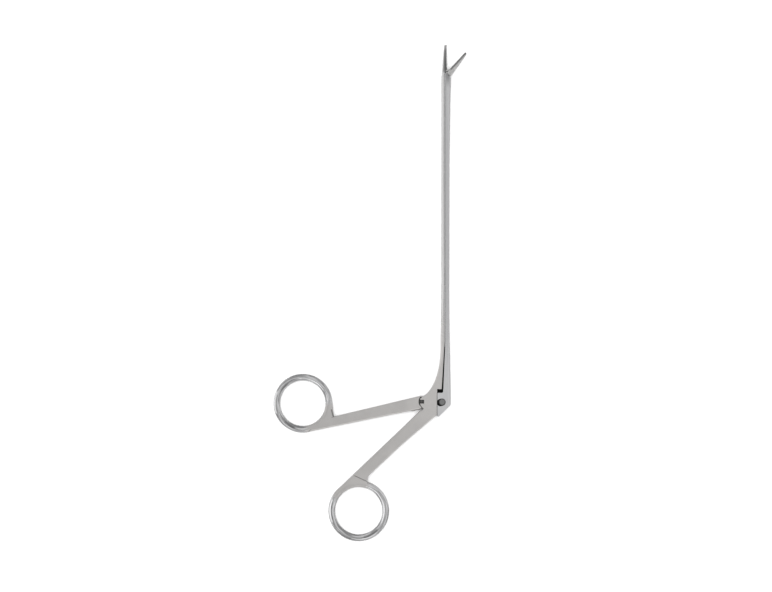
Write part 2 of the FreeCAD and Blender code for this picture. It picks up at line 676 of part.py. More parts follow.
def foot():
    """Forked foot of the sliding half, with its lower corner cut off at a slant."""
    half = BODY_THICK / 2
    left = SEAM_X + FACE_GAP
    inner_x = SLIT_SLIDE_X - FOOT_INNER_STEP
    plate = polygon([
        V(left, FOOT_TOP_Y, 0),
        V(inner_x, FOOT_TOP_Y, 0),
        V(SLIT_SLIDE_X, FOOT_TOP_Y + FOOT_INNER_RISE, 0),
        V(SLIT_SLIDE_X, GAP_TOP_Y, 0),
        V(FOOT_RIGHT_X, GAP_TOP_Y, 0),
        V(FOOT_RIGHT_X, FOOT_CUT_LOW.y, 0),
        FOOT_CUT_LOW,
        V(left, FOOT_LEFT_LOW_Y, 0),
    ], -half, half)
    side = (V(FOOT_RIGHT_X, GAP_TOP_Y, 0), V(FOOT_RIGHT_X, FOOT_CUT_LOW.y, 0))
    plate = round_sides(plate, [side], FOOT_ROUND)
    slant = FOOT_CUT_TOP.sub(FOOT_CUT_LOW)
    far = FOOT_CUT_LOW + slant * 3
    corner = polygon([FOOT_CUT_LOW, far, V(far.x, FOOT_CUT_LOW.y, 0)], -BIG, BIG)
    return plate.cut(corner)


def slide_shaft():
    """Sliding half of the shaft down to the foot."""
    flat = FACE_GAP / 2
    rod = Part.makeLoft([
        d_section(SLIDE_FRONT_Y, flat, SLIDE_OUT_TIP, SHAFT_THICK, SHAFT_ROUND),
        d_section(SHAFT_UPPER_Y, flat, SLIDE_OUT_UPPER, SHAFT_THICK, SHAFT_ROUND),
        d_section(SHAFT_WAIST_Y, flat, SLIDE_OUT_MID, SHAFT_THICK, SHAFT_ROUND),
        d_section(SHAFT_BACK_Y, flat, SLIDE_OUT_BACK, SHAFT_THICK, SHAFT_ROUND),
        d_section(SLIT_TOP_Y, flat, SLIDE_OUT_NECK, SHAFT_THICK, SHAFT_ROUND),
    ], True, True)
    sections = []
    for y in neck_levels():
        sections.append(d_section(
            y, slide_edge(y),
            blend(y, GAP_TOP_Y, SLIT_TOP_Y, FOOT_RIGHT_X, SLIDE_OUT_NECK),
            blend(y, GAP_TOP_Y, SLIT_TOP_Y, BODY_THICK, SHAFT_THICK),
            blend(y, GAP_TOP_Y, SLIT_TOP_Y, FOOT_ROUND, SHAFT_ROUND)))
    return rod.fuse(Part.makeLoft(sections, True, True))


def slide_front_cut():
    """Everything above the slanted front edge of the sliding half."""
    nose = V(FACE_GAP / 2 + SLIDE_NOSE_WIDTH, SLIDE_FRONT_Y, 0)
    reach = 2 * SHAFT_THICK
    side = nose + V(reach, -reach * math.tan(math.radians(SLIDE_FRONT_SLOPE)), 0)
    top = V(0, SLIDE_FRONT_Y + reach, 0)
    return polygon([V(-reach, nose.y, 0), nose, side, V(side.x, top.y, 0), V(-reach, top.y, 0)], -BIG, BIG)


def sliding_shaft():
    half = BODY_THICK / 2
    shape = slide_shaft().fuse([foot()] + [guide_key(y) for y in guide_centres()])
    leaf = BLADE_THICK / 2 + LAYER_GAP + LEAF_THICK + LAYER_GAP
    fork = block(-BIG, BIG, FORK_FLOOR_Y, BIG, -leaf, leaf)
    hole = stadium(DRIVE_PIN + DRIVE_HOLE_SPARE, DRIVE_PIN, DRIVE_PIN_R + RUN_GAP, -BIG, BIG)
    way = tongue_way(travel()).common(block(-BIG, BIG, -BIG, FOOT_TOP_Y, -half, half))
    shape = shape.cut([slide_front_cut(), fork, hole, way, rib(FACE_GAP, travel())])
    return shape.cut(disc(LINK_PIN, SMALL_PIN_R, -BIG, BIG)).removeSplitter()


def link_way(share):
    """Link pin's centre seen by the closed jaw, at a share of the whole travel."""
    pin = V(LINK_PIN.x, LINK_PIN.y + share * travel(), 0).sub(JAW_PIVOT)
    turn = JAW_OPEN * (1 - share)
    return polar(JAW_PIVOT, pin.Length, math.degrees(math.atan2(pin.y, pin.x)) + turn)


def jaw_leaf_outline(low, high):
    """Thin root of the moving jaw: hub, cam lobe and the web that joins them to the jaw."""
    a, b = link_way(0.0), link_way(1.0)
    lobe_r = SMALL_PIN_R + RUN_GAP + CAM_WALL
    bite = FIXED_BITE_X + BITE_GAP
    top = JAW_PIVOT.y + SHOULDER_UP + OVERLAP
    web = polygon([V(bite, top, 0), V(JAW_PIVOT.x + JAW_ROOT_DEPTH, top, 0),
                   V(a.x + lobe_r, a.y, 0), V(b.x, b.y, 0), V(JAW_PIVOT.x, JAW_PIVOT.y, 0)], low, high)
    return disc(JAW_PIVOT, HUB_R, low, high).fuse([web, stadium(a, b, lobe_r, low, high)])


def moving_jaw():
    """Modelled closed and then turned open about its pivot."""
    bite_x = FIXED_BITE_X + BITE_GAP
    shoulder_y = JAW_PIVOT.y + SHOULDER_UP
    depth = JAW_ROOT_DEPTH - (bite_x - JAW_PIVOT.x)
    tip_depth = JAW_TIP_DEPTH
    jaw = jaw_blank(shoulder_y, bite_x, depth, tip_depth, 1)
    jaw = jaw.cut(teeth(bite_x, 1, TOOTH_PITCH / 2))
    blade = BLADE_THICK / 2 + LAYER_GAP
    outer = blade + LEAF_THICK
    leaves = jaw_leaf_outline(-outer, outer)
    slot = block(-BIG, BIG, -BIG, JAW_PIVOT.y + BLADE_EYE_R + LAYER_GAP, -blade, blade)
    rim_y = JAW_PIVOT.y + HUB_R + LAYER_GAP
    slot = slot.fuse(block(-BIG, JAW_PIVOT.x + LAYER_GAP, -BIG, rim_y, -blade, blade))
    cam = curved_slot(link_way(0.0), link_way(0.5), link_way(1.0), SMALL_PIN_R + RUN_GAP, -BIG, BIG)
    shape = jaw.fuse(leaves).cut([slot, cam, disc(JAW_PIVOT, SMALL_PIN_R + RUN_GAP, -BIG, BIG)])
    return turned(shape.removeSplitter(), JAW_PIVOT, -JAW_OPEN)


def flush_pin(centre, radius, thick):
    return disc(centre, radius, -thick / 2, thick / 2)


def lever_pivot_pin():
    return flush_pin(PIVOT, PIVOT_PIN_R, BODY_THICK)


def drive_pin():
    pin = flush_pin(DRIVE_PIN, DRIVE_PIN_R, BODY_THICK - 2 * DRIVE_PIN_RECESS)
    rims = [edge for edge in pin.Edges if len(edge.Vertexes) == 1]
    return pin.makeChamfer(PIN_CHAMFER, rims)


def jaw_pivot_pin():
    return flush_pin(JAW_PIVOT, SMALL_PIN_R, BLADE_THICK + 2 * (LAYER_GAP + LEAF_THICK))


def jaw_link_pin():
    return flush_pin(LINK_PIN, SMALL_PIN_R, SHAFT_THICK)


def build():
    return {
        "fixed_handle": fixed_handle(),
        "finger_handle": finger_handle(),
        "sliding_shaft": sliding_shaft(),
        "moving_jaw": moving_jaw(),
        "lever_pivot_pin": lever_pivot_pin(),
        "drive_pin": drive_pin(),
        "jaw_pivot_pin": jaw_pivot_pin(),
        "jaw_link_pin": jaw_link_pin(),
    }


def export(pieces):
    """Move the set so that its origin is below the middle of its box, and write it."""
    os.makedirs("parts", exist_ok=True)
    box = FreeCAD.BoundBox()
    for shape in pieces.values():
        for point in shape.tessellate(0.02)[0]:
            box.add(point)
    shift = V(-(box.XMin + box.XMax) / 2, -(box.YMin + box.YMax) / 2, -box.ZMin)
    for name, shape in pieces.items():
        moved = shape.copy()
        moved.translate(shift)
        moved.exportStep("parts/" + name + ".step")
        print(name, len(moved.Solids), moved.isValid(), round(moved.Volume, 2))
    print("shift", shift, "size", box.XLength, box.YLength, box.ZLength, "travel", travel())


export(build())
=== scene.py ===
"""Finishes and studio for the alligator forceps: satin body, polished rings, darker jaws and pins."""
import json
import math

import bpy
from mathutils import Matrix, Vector


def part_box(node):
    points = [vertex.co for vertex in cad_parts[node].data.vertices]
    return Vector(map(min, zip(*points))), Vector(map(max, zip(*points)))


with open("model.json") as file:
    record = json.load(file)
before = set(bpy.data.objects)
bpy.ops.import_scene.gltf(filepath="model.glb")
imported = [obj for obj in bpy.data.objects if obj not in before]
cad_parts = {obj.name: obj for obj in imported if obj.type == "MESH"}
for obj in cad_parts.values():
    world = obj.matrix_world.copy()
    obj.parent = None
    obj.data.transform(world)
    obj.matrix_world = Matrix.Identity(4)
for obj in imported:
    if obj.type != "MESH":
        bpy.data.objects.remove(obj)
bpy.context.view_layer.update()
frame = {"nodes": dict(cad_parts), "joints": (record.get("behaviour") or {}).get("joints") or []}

bl_info = {
    "name": "Alligator forceps finishes",
    "version": (1, 0, 0),
    "blender": (4, 5, 0),
    "location": "3D View > Sidebar > Forceps",
    "description": "Steel finishes for forceps with a sliding shaft, and the studio they lie in",
    "category": "Material",
}

MM = 0.001
JOINT = {joint["name"]: joint for joint in frame["joints"]}
LEVER_PIVOT = Vector(JOINT["finger_squeeze"]["pos_m"])
JAW_PIVOT = Vector(JOINT["jaw_close"]["pos_m"])
JAW_OPEN = math.radians(JOINT["jaw_close"]["range_deg"][1])

# Painted shade in the seam between body and foot, in the travel gap above it and along the slit up the neck,
# measured from the lever pivot
SEAM_OFFSET = 4.65 * MM
SEAM_SPAN = (-7.1 * MM, 4.4 * MM)
SEAM_SHADE_WIDTH = 0.12 * MM
SEAM_FADE = 0.08 * MM
SEAM_END_FADE = 0.3 * MM
GAP_WIDTH = 3.4 * MM
GAP_FOOT = 3.8 * MM
GAP_SIDE_FADE = 0.05 * MM
GAP_END_FADE = 0.1 * MM
SLIT_SPAN = (6.3 * MM, 28.0 * MM)
SLIT_FIXED_OFFSET = 7.00 * MM
SLIT_FIXED_SLOPE = 0.061
SLIT_SLIDE_OFFSET = 7.65 * MM
SLIT_SLIDE_SLOPE = 0.043
SLIT_SHADOW = (-0.22 * MM, -0.04 * MM)
RIB_SHADOW = (-0.10 * MM, -0.04 * MM)
RIB_HALF_THICK = 0.86 * MM
RIB_FADE = 0.06 * MM

# Painted shade in the window beside the lever, measured from the lever pivot: on the tongue, in the drive eye
# and on the hollow shoulder
TONGUE_END = 4.31 * MM
TONGUE_FADE = 0.04 * MM
EYE_START = (-0.5 * MM, 0.0)
SHOULDER_REACH = (4.50 * MM, 4.75 * MM)
SHOULDER_SPAN = (-1.6 * MM, 1.6 * MM)
SHOULDER_FADE = 0.6 * MM

# Where satin passes into the buffed shaft and where the arms take painted shade, measured from the lever
# pivot
FIXED_BUFF = (24.0 * MM, 49.0 * MM)
SLIDE_BUFF = (10.0 * MM, 34.0 * MM)
THUMB_ARM = (-14.0 * MM, -6.0 * MM)
FINGER_ARM = (-15.0 * MM, -7.0 * MM)

# Painted shade on the front of the sliding half and along a band of its shaft, measured from the jaw pivot
FRONT_START = (-9.0 * MM, -1.5 * MM)
FRONT_SPAN = (-0.2 * MM, 1.1 * MM)
FRONT_FADE = 0.5 * MM
ROD_BAND_SPAN = (-0.65 * MM, 0.05 * MM)
ROD_BAND_FADE = 0.35 * MM

# Fixed jaw, measured from the jaw pivot: painted shade on the flank, black painted shade on the bite near the
# root and a painted highlight on the bite edge
FLANK_ROOT = (-1.5 * MM, 1.2 * MM)
FLANK_SIDE = (-2.10 * MM, -1.80 * MM)
FLANK_LEAN = 0.05
FLANK_TIP = (9.5 * MM, 12.8 * MM)
FLANK_TIP_SHARE = 0.5
BITE_ROOT = (-1.3 * MM, -0.6 * MM)
BITE_SIDE = (-0.85 * MM, -0.65 * MM)
BITE_TIP = (3.0 * MM, 9.0 * MM)
EDGE_HIGHLIGHT_ROOT = (1.3 * MM, 1.8 * MM)
EDGE_HIGHLIGHT_SIDE = (-0.34 * MM, -0.20 * MM)

# Painted shade on the moving jaw, measured from the jaw pivot: along its bite, seen as if the jaw were
# closed, and on its heel
MOVING_BITE_ROOT = (1.2 * MM, 2.4 * MM)
MOVING_BITE_SIDE = (0.9 * MM, 1.3 * MM)
MOVING_HEEL = (-0.55 * MM, -0.30 * MM)

# Finger rings: outside radius, heading from the middle to the web in degrees, and how the polish ends
RING_OUT = {"finger_handle": 14.66 * MM, "fixed_handle": 15.16 * MM}
WEB_HEADING = {"finger_handle": -42.0, "fixed_handle": 110.0}
WEB_TURN = (0.68, 0.84)
POLISH_SPARE = 0.04 * MM
POLISH_FADE = 0.7 * MM
# Painted reflection streaks on the polished rings
STREAK_TURNS = 1.3
STREAK_WIDTH = 1.0 * MM
STREAK_CONTRAST = (0.36, 0.64)

# Painted glints and painted dark reflection bands on the polished rings: radius, half width, heading and
# spread to each side in degrees
FINGER_GLINTS = ((14.15 * MM, 0.35 * MM, 178.0, 27.0), (12.10 * MM, 0.22 * MM, 55.0, 27.0))
FINGER_DARK_REFLECTIONS = ((12.35 * MM, 0.35 * MM, 150.0, 28.0), (13.15 * MM, 0.20 * MM, 182.0, 24.0),
                (12.90 * MM, 0.50 * MM, 238.0, 15.0), (14.20 * MM, 0.40 * MM, 60.0, 20.0))
THUMB_GLINTS = ((14.35 * MM, 0.35 * MM, 180.0, 27.0), (12.60 * MM, 0.25 * MM, 5.0, 40.0))
THUMB_DARK_REFLECTIONS = ((13.60 * MM, 0.20 * MM, 180.0, 22.0), (14.40 * MM, 0.50 * MM, 240.0, 17.0),
               (13.20 * MM, 0.50 * MM, 298.0, 20.0))

# Strokes of shadow where the flats end at the rings: both ends from the lever pivot, and half the width.
# A stroke fades past its ends over a share of its length, and is full over a share of its width.
THUMB_CREASE = (Vector((-36.05, -37.25, 0.0)) * MM, Vector((-30.70, -39.75, 0.0)) * MM)
THUMB_CREASE_HALF = 0.30 * MM
FINGER_CREASE = (Vector((-48.10, -4.20, 0.0)) * MM, Vector((-47.30, -7.30, 0.0)) * MM)
FINGER_CREASE_HALF = 0.45 * MM
STROKE_END_FADE = 0.2
STROKE_FULL = 0.3

# Darkness of each painted shadow, as a share of full painted shade
SEAM_BODY_DARK = 0.80
SEAM_FOOT_DARK = 0.65
SLIT_DARK = 0.50
FLANK_DARK = 0.68
BITE_DARK = 0.85
THUMB_ARM_DARK = 0.07
FINGER_ARM_DARK = 0.08
CREASE_DARK = 0.60
BAND_DARK = 0.40
TONGUE_DARK = 0.80
EYE_DARK = 0.93
SHOULDER_DARK = 0.85
FRONT_DARK = 0.50
ROD_DARK = 0.10
ROD_BAND_DARK = 0.14
# Strength of the painted glints and of the painted highlight on the jaw's bite edge
GLINT_SHARE = 0.90
EDGE_HIGHLIGHT_SHARE = 0.50

# Satin steel: lowest brightness and what its pattern adds to it, and the strength of the painted light and
# shade over it
MATT_LEVEL = (0.82, 0.36)
BUFFED_LEVEL = (0.52, 0.62)
GLINT_LEVEL = 1.48
EVEN_STREAK = 0.8
EDGE_HIGHLIGHT_LIFT = 0.2
CREVICE_SHADE_DARK = 0.85
PAINTED_SHADE_DARK = 0.985
CLOUD_SIZE = 14.0 * MM
CLOUD_SHARE = 0.75
SMEAR_SIZE = 2.2 * MM

# Roughness that the pattern and the grain add to satin steel and a sharp edge takes off, and the share of
# the grain that buffing takes off
TONE_ROUGH = 0.08
GRAIN_ROUGH = 0.03
EDGE_SHINE = 0.06
GRAIN_BUFFED = 0.85

# Jaw steel: darkest and brightest tone of the jaw colour, the share and tone of the painted edge highlight
# and of the painted shade on the bite and in crevices, and the least that the cloud changes the roughness by
# and what it adds to that
JAW_TONES = (0.82, 1.18)
JAW_EDGE_HIGHLIGHT = (0.30, 1.40)
JAW_BITE_SHADE = (0.75, 0.20)
JAW_CREVICE_SHADE = (0.85, 0.08)
JAW_CREVICE_REACH = 0.3 * MM
JAW_EDGE_RADIUS = 0.08 * MM
JAW_GRAIN = 0.12 * MM
JAW_CLOUD = 1.4 * MM
JAW_CLOUD_ROUGH = (-0.03, 0.08)

# Pins: tones of the pin colour in painted shade at the rim and in painted light in the middle, and lengths as
# shares of the pin's radius
PIN_TONES = (0.25, 1.05)
PIN_EDGE_HIGHLIGHT = (0.40, 1.80)
PIN_EDGE_SHARE = 0.05
PIN_LIT_ASIDE = Vector((0.12, 0.06, 0.0))
PIN_LIT_SPAN = (0.60, 1.02)
PIN_GRAIN = 0.15 * MM
PIN_GRAIN_ROUGH = 0.08
TURNED_PITCH = 0.09 * MM
TURNED_SHARE = 0.5

# Bumps: strength and height
SATIN_BUMP = (0.16, 0.02 * MM)
JAW_BUMP = (0.15, 0.01 * MM)
PIN_BUMP = (0.10, 0.01 * MM)

# Share of the ceiling that a gap still sees, from full painted shade to none, and how alike two normals are
# on a sharp edge
CREVICE_OPEN = (0.30, 0.85)
EDGE_ALIKE = (0.80, 0.995)


def room_stops(*pairs):
    """Ramp stops from (degrees from the ceiling, brightness) pairs, from -180 to 180 degrees."""
    return [(0.5 + degrees / 360.0, level) for degrees, level in pairs]


# Brightness of the room, across the picture and along it, against the angle from the ceiling
ROOM_ACROSS = room_stops(
    (-180, 0.60), (-110, 0.88), (-62, 1.00), (-36, 1.08), (-25, 0.60), (-17, 0.18), (-9, 0.85),
    (0, 0.97), (10, 0.92), (20, 0.66), (34, 0.90), (60, 0.92), (100, 0.78), (180, 0.55))
ROOM_ALONG = room_stops(
    (-180, 0.60), (-90, 0.90), (-50, 1.35), (-34, 0.70), (-22, 0.40), (-8, 0.92),
    (0, 0.97), (25, 0.80), (60, 0.78), (110, 0.75), (180, 0.60))
# Clutter on the walls: how much of it there is, from (drop from the ceiling, share) pairs, and its size
ROOM_LOW_WALLS = [(0.0, 0.0), (0.10, 0.0), (0.45, 1.0), (1.0, 1.0)]
CLUTTER_SCALE = 2.6
CLUTTER_DETAIL = 1.5

# Keeps the point straight overhead from a division by zero
NOT_ZERO = 0.00001

# Floor: size of its faint patches in metres, their tones and its roughness
FLOOR_PATCH = 0.4
FLOOR_TONES = (0.995, 1.005)
FLOOR_ROUGHNESS = 0.9


class Steel(bpy.types.PropertyGroup):
    """Colours and roughness of the satin and polished steel."""
    flat_colour: bpy.props.FloatVectorProperty(
        name="Satin colour", description="Colour of the satin steel on the flats",
        subtype="COLOR", size=3, min=0.0, max=1.0, default=(0.640, 0.624, 0.611))
    cool_colour: bpy.props.FloatVectorProperty(
        name="Buffed colour", description="Colour of the rings, the shaft and the sliding half",
        subtype="COLOR", size=3, min=0.0, max=1.0, default=(0.672, 0.672, 0.680))
    flat_roughness: bpy.props.FloatProperty(
        name="Satin roughness", description="Roughness of the blasted flats",
        min=0.0, max=1.0, default=0.34)
    ring_roughness: bpy.props.FloatProperty(
        name="Ring roughness", description="Roughness of the polished finger rings",
        min=0.0, max=1.0, default=0.13)
    rod_roughness: bpy.props.FloatProperty(
        name="Shaft roughness", description="Roughness of the buffed shaft",
        min=0.0, max=1.0, default=0.20)
    grain_size: bpy.props.FloatProperty(
        name="Grain size", description="Size of one grain of the satin texture",
        subtype="DISTANCE", unit="LENGTH", min=0.00001, max=0.005, default=0.00016)
    edge_radius: bpy.props.FloatProperty(
        name="Broken edge", description="Radius to which sharp edges look broken",
        subtype="DISTANCE", unit="LENGTH", min=0.0, max=0.002, default=0.00022)
    # Reach of the painted shade in gaps and corners
    crevice_reach: bpy.props.FloatProperty(
        name="Crevice reach", description="Width of the gaps that look dark",
        subtype="DISTANCE", unit="LENGTH", min=0.0, max=0.01, default=0.0012)


class Darker(bpy.types.PropertyGroup):
    """Colours of the hardened jaws and the drive pin."""
    jaw_colour: bpy.props.FloatVectorProperty(
        name="Jaw colour", description="Colour of the hardened jaw steel",
        subtype="COLOR", size=3, min=0.0, max=1.0, default=(0.56, 0.555, 0.55))
    jaw_roughness: bpy.props.FloatProperty(
        name="Jaw roughness", description="Roughness of the jaws",
        min=0.0, max=1.0, default=0.26)
    pin_colour: bpy.props.FloatVectorProperty(
        name="Pin colour", description="Colour of the pin steel",
        subtype="COLOR", size=3, min=0.0, max=1.0, default=(0.24, 0.24, 0.24))
    pin_roughness: bpy.props.FloatProperty(
        name="Pin roughness", description="Roughness of the faced pin ends",
        min=0.0, max=1.0, default=0.30)


class Studio(bpy.types.PropertyGroup):
    """Floor, light and camera."""
    floor_colour: bpy.props.FloatVectorProperty(
        name="Floor colour", description="Colour of the pale floor",
        subtype="COLOR", size=3, min=0.0, max=1.0, default=(0.93, 0.93, 0.93))
    floor_size: bpy.props.FloatProperty(
        name="Floor size", description="Length of one side of the floor",
        subtype="DISTANCE", unit="LENGTH", min=0.5, max=50.0, default=12.0)
    softbox_size: bpy.props.FloatProperty(
        name="Softbox size", description="Diameter of the round overhead softbox",
        subtype="DISTANCE", unit="LENGTH", min=0.1, max=10.0, default=1.6)
    softbox_place: bpy.props.FloatVectorProperty(
        name="Softbox place", description="Middle of the softbox, which faces the middle of the floor",
        subtype="TRANSLATION", unit="LENGTH", size=3, default=(-0.1, 0.1, 1.6))
    key_power: bpy.props.FloatProperty(
        name="Softbox power", description="Power of the large overhead softbox",
        unit="POWER", min=0.0, max=1000.0, default=27.0)
    sky_level: bpy.props.FloatProperty(
        name="Room brightness", description="Brightness of the grey room above the table",
        min=0.0, max=5.0, default=0.92)
    room_clutter: bpy.props.FloatProperty(
        name="Room clutter", description="How uneven the walls of the room are, as polished steel shows them",
        min=0.0, max=4.0, default=1.6)
    lens: bpy.props.FloatProperty(
        name="Lens", description="Focal length of the camera",
        subtype="DISTANCE_CAMERA", min=20.0, max=400.0, default=200.0)
    frame_width: bpy.props.FloatProperty(
        name="Frame width", description="Width of the table that the camera sees",
        subtype="DISTANCE", unit="LENGTH", min=0.05, max=5.0, default=0.386)
    look_at: bpy.props.FloatVectorProperty(
        name="Camera aim", description="Point in the middle of the frame",
        subtype="TRANSLATION", unit="LENGTH", size=3, default=(0.00799, -0.00146, 0.0025))


class Field:
    """A socket that varies over a surface; arithmetic on it adds the Math nodes."""

    def __init__(self, tree, socket):
        self.tree = tree
        self.socket = socket

    def _math(self, operation, *inputs):
        return self.tree.node("ShaderNodeMath", {"operation": operation}, dict(enumerate(inputs)))

    def __add__(self, other):
        return self._math("ADD", self, other)

    __radd__ = __add__

    def __sub__(self, other):
        return self._math("SUBTRACT", self, other)

    def __rsub__(self, other):
        return self._math("SUBTRACT", other, self)

    def __mul__(self, other):
        return self._math("MULTIPLY", self, other)

    __rmul__ = __mul__

    def __truediv__(self, other):
        return self._math("DIVIDE", self, other)

    def __rtruediv__(self, other):
        return self._math("DIVIDE", other, self)

    def __pow__(self, other):
        return self._math("POWER", self, other)

    def __abs__(self):
        return self._math("ABSOLUTE", self)


class Surface:
    """One material's node tree."""

    def __init__(self, name):
        self.material = bpy.data.materials.new(name)
        self.material.use_nodes = True
        self.nodes = self.material.node_tree.nodes
        self.links = self.material.node_tree.links
        self.shader = self.nodes["Principled BSDF"]

    def node(self, kind, settings=None, inputs=None, output=0):
        """Adds one node, sets it up, feeds its inputs, and gives one output as a Field."""
        made = self.nodes.new(kind)
        for key, value in (settings or {}).items():
            setattr(made, key, value)
        for key, value in (inputs or {}).items():
            self.feed(made.inputs[key], value)
        return Field(self, made.outputs[output])

    def feed(self, socket, value):
        """Links a Field to a socket, or sets a plain value on it."""
        if isinstance(value, Field):
            self.links.new(value.socket, socket)
        else:
            socket.default_value = value

    def ramp(self, value, stops):
        """Smooth step between (position, grey) stops."""
        made = self.nodes.new("ShaderNodeValToRGB")
        ramp = made.color_ramp
        ramp.interpolation = "EASE"
        while len(ramp.elements) < len(stops):
            ramp.elements.new(1.0)
        for element, (place, grey) in zip(ramp.elements, stops):
            element.position = place
            element.color = (grey, grey, grey, 1.0)
        self.feed(made.inputs[0], value)
        return Field(self, made.outputs[0])

    def parts(self, vector):
        """The three parts of a vector, as Fields."""
        made = self.nodes.new("ShaderNodeSeparateXYZ")
        self.feed(made.inputs[0], vector)
        return [Field(self, socket) for socket in made.outputs]

    def place(self):
        """Place on the piece, in metres."""
        return self.node("ShaderNodeTexCoord", output="Object")

    def offset(self, point):
        """Place on the piece measured from a point, as three Fields in metres."""
        return self.parts(self.node("ShaderNodeVectorMath", {"operation": "SUBTRACT"},
                                    {0: self.place(), 1: tuple(point)}))

    def distance(self, point):
        """Distance of the place on the piece from a point in the XY plane, in metres."""
        flat = self.node("ShaderNodeVectorMath", {"operation": "MULTIPLY"},
                         {0: self.place(), 1: (1.0, 1.0, 0.0)})
        return self.node("ShaderNodeVectorMath", {"operation": "DISTANCE"},
                         {0: flat, 1: (point[0], point[1], 0.0)}, "Value")

    def noise(self, vector, size, detail=2.0, roughness=0.5):
        """Grey noise with features of about the given size in metres."""
        return self.node("ShaderNodeTexNoise", {"noise_dimensions": "3D"},
                         {"Vector": vector, "Scale": 1.0 / size, "Detail": detail, "Roughness": roughness})

    def fade(self, value, start, end):
        """1 below start and 0 above end, smooth between."""
        return self.node("ShaderNodeMapRange",
                         {"interpolation_type": "SMOOTHSTEP"},
                         {"Value": value, "From Min": start, "From Max": end, "To Min": 1.0, "To Max": 0.0})

    def rise(self, value, start, end):
        """0 below start and 1 above end, smooth between."""
        return 1 - self.fade(value, start, end)

    def within(self, value, low, high, soft):
        """1 between two values, fading to 0 over soft outside them."""
        return self.fade(value, high, high + soft) * self.rise(value, low - soft, low)

    def streaks(self, centre):
        """Painted reflection streaks round a centre: 0 in dark streaks, 1 in bright ones."""
        x, y, _ = self.offset(centre)
        away = (x * x + y * y) ** 0.5
        wrapped = self.node("ShaderNodeCombineXYZ", {}, {
            0: x / away * STREAK_TURNS, 1: y / away * STREAK_TURNS, 2: away / STREAK_WIDTH})
        return self.rise(self.noise(wrapped, 1.0), *STREAK_CONTRAST)

    def facing(self, centre, degrees):
        """Cosine of the angle between a direction and the way from the centre, seen from above."""
        x, y, _ = self.offset(centre)
        turn = math.radians(degrees)
        return (x * math.cos(turn) + y * math.sin(turn)) / (x * x + y * y) ** 0.5

    def arcs(self, centre, bands):
        """1 on arcs round a centre, from (radius, half width, heading, spread) bands."""
        away = self.distance(centre)
        masks = []
        for radius, half, heading, spread in bands:
            wide = math.cos(math.radians(spread))
            turn = self.rise(self.facing(centre, heading), wide, 0.5 * (1 + wide))
            masks.append(self.within(away, radius - 0.5 * half, radius + 0.5 * half, half) * turn)
        return either(*masks)

    def stroke(self, origin, ends, half_width):
        """1 on the straight stroke between two points given from an origin, soft at its sides and ends."""
        x, y, _ = self.offset(origin + ends[0])
        way = ends[1] - ends[0]
        along = self.within((x * way.x + y * way.y) / way.length_squared, 0.0, 1.0, STROKE_END_FADE)
        aside = abs(x * way.y - y * way.x) / way.length
        return along * self.fade(aside, STROKE_FULL * half_width, half_width)

    def mix(self, factor, low, high):
        """Colour between low, where factor is 0, and high, where it is 1."""
        return self.node("ShaderNodeMix", {"data_type": "RGBA"},
                         {"Factor": factor, 6: rgba(low), 7: rgba(high)}, 2)

    def scaled(self, colour, level):
        """The colour made brighter or darker by a factor."""
        return self.node("ShaderNodeVectorMath", {"operation": "SCALE"}, {0: colour, "Scale": level})

    def painted_over(self, colour, mask, base, painting):
        """The colour with painted light and shade over it where mask is 1; painting is its share and its tone
        of the base.
        """
        share, tone = painting
        return self.mix(mask * share, colour, shade(base, tone))

    def crevice_shade(self, reach):
        """Painted shade mask: 1 in gaps and corners narrower than reach, 0 in the open."""
        open_share = self.node("ShaderNodeAmbientOcclusion", {"samples": 8}, {"Distance": reach}, "AO")
        return self.fade(open_share, *CREVICE_OPEN)

    def edges(self, radius):
        """Rounded normal, and a mask that is 1 on sharp edges."""
        rounded = self.node("ShaderNodeBevel", {"samples": 6}, {"Radius": radius})
        plain = self.node("ShaderNodeNewGeometry", output="Normal")
        alike = self.node("ShaderNodeVectorMath", {"operation": "DOT_PRODUCT"},
                          {0: rounded, 1: plain}, "Value")
        return rounded, self.fade(alike, *EDGE_ALIKE)

    def finish(self, colour, roughness, height, bump, normal):
        """Feeds the shader; bump is its strength and its height in metres."""
        strength, depth = bump
        bumped = self.node("ShaderNodeBump", {},
                           {"Strength": strength, "Distance": depth, "Height": height, "Normal": normal})
        self.feed(self.shader.inputs["Base Color"], colour)
        self.feed(self.shader.inputs["Roughness"], roughness)
        self.feed(self.shader.inputs["Normal"], bumped)
        self.shader.inputs["Metallic"].default_value = 1.0
        return self.material


class World:
    """The room as a function of the direction that it is seen in."""

    def __init__(self, world):
        world.use_nodes = True
        self.nodes = world.node_tree.nodes
        self.links = world.node_tree.links

    node = Surface.node
    feed = Surface.feed
    ramp = Surface.ramp
    parts = Surface.parts


def rgba(colour):
    return colour if isinstance(colour, Field) else (*tuple(colour)[:3], 1.0)


def shade(colour, factor):
    return tuple(min(channel * factor, 1.0) for channel in colour)


def either(*masks):
    """1 where any of the masks is 1."""
    left = 1.0
    for mask in masks:
        left = (1 - mask) * left
    return 1 - left


def put_on(node, material):
    """Gives a CAD node its finish."""
    owner = frame["nodes"][node]
    owner.data.materials.clear()
    owner.data.materials.append(material)


def ring_centre(node):
    """Middle of a handle's finger ring, which lies in the outer corner of the handle's box."""
    low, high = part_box(node)
    y = high.y - RING_OUT[node] if node == "finger_handle" else low.y + RING_OUT[node]
    return Vector((low.x + RING_OUT[node], y, 0.5 * (low.z + high.z)))


